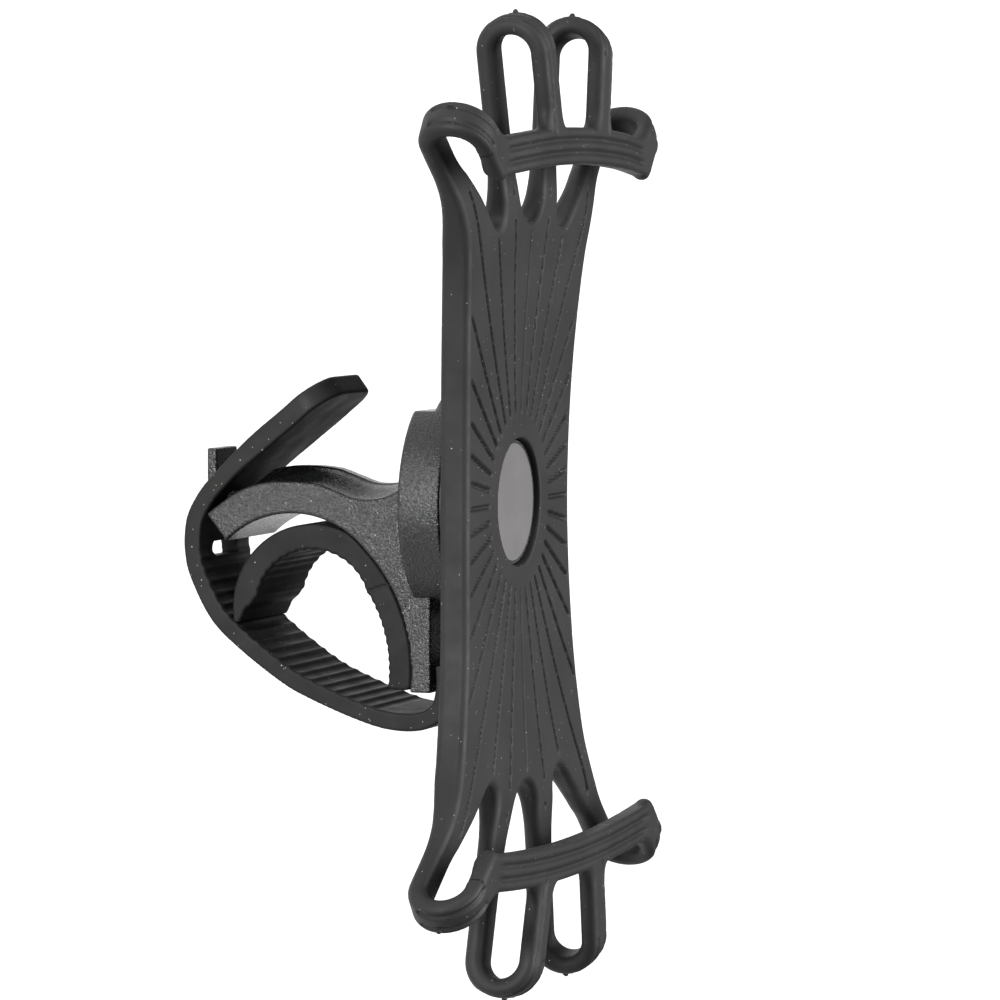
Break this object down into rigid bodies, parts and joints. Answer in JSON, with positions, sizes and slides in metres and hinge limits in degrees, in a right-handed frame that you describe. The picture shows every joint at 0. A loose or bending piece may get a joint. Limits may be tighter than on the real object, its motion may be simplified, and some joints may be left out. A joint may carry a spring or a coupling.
{
  "type": "handlebar phone mount",
  "caption": "Phone holder for a handlebar: a stretch rubber web with corner loops turns on a click hub above a saddle bracket that a toothed strap clamps to the bar.",
  "frame": {"origin": "on the axis of the clamped handlebar, at the middle of the bracket's width", "axes": "+X along the handlebar, +Y along the phone's long side, +Z from the handlebar towards the phone"},
  "size_m": [0.0896, 0.146, 0.059],
  "materials": {
    "bracket_plastic": "spark-eroded, semi-gloss black nylon",
    "plate_plastic": "fine matte black nylon",
    "web_silicone": "matte moulded silicone with fine dust",
    "strap_rubber": "matte moulded rubber",
    "liner_rubber": "matte moulded rubber",
    "cap_plastic": "satin mid grey",
    "steel": "zinc plated",
    "spring_steel": "bright drawn wire",
    "brass": "turned and knurled",
    "acetal": "black acetal"
  },
  "bodies": {
    "clamp": {"saddle_bracket": "bracket_plastic", "liner_pad": "liner_rubber", "strap_pin": "steel", "threaded_insert": "brass", "pivot_screw": "steel", "pivot_washer": "steel", "wave_washer": "spring_steel", "glide_ring": "acetal", "detent_balls": "steel", "detent_springs": "spring_steel"},
    "strap_body": {"strap": "strap_rubber"},
    "holder": {"back_plate": "plate_plastic", "click_ring": "steel", "retaining_ring": "steel", "plate_screws": "steel", "centre_cap": "cap_plastic", "web_bed": "web_silicone", "upper_fingers": "web_silicone", "lower_fingers": "web_silicone"},
    "upper_web": {"upper_grip": "web_silicone"},
    "lower_web": {"lower_grip": "web_silicone"}
  },
  "joints": [
    {"name": "holder_spin", "type": "hinge", "parent": "clamp", "child": "holder", "pos_m": [0, 0.0163, 0.0238], "axis": [0, 0, 1], "continuous": true},
    {"name": "strap_swing", "type": "hinge", "parent": "clamp", "child": "strap_body", "pos_m": [0, -0.0095, 0.01745], "axis": [1, 0, 0], "range_deg": [-55, 0], "deforming": ["strap"]},
    {"name": "upper_stretch", "type": "slide", "parent": "holder", "child": "upper_web", "axis": [0, 1, 0], "range_m": [0, 0.02], "stiffness_N_per_m": 350, "deforming": ["upper_fingers"]},
    {"name": "lower_stretch", "type": "slide", "parent": "holder", "child": "lower_web", "axis": [0, -1, 0], "range_m": [0, 0.02], "stiffness_N_per_m": 350, "deforming": ["lower_fingers"]}
  ]
}
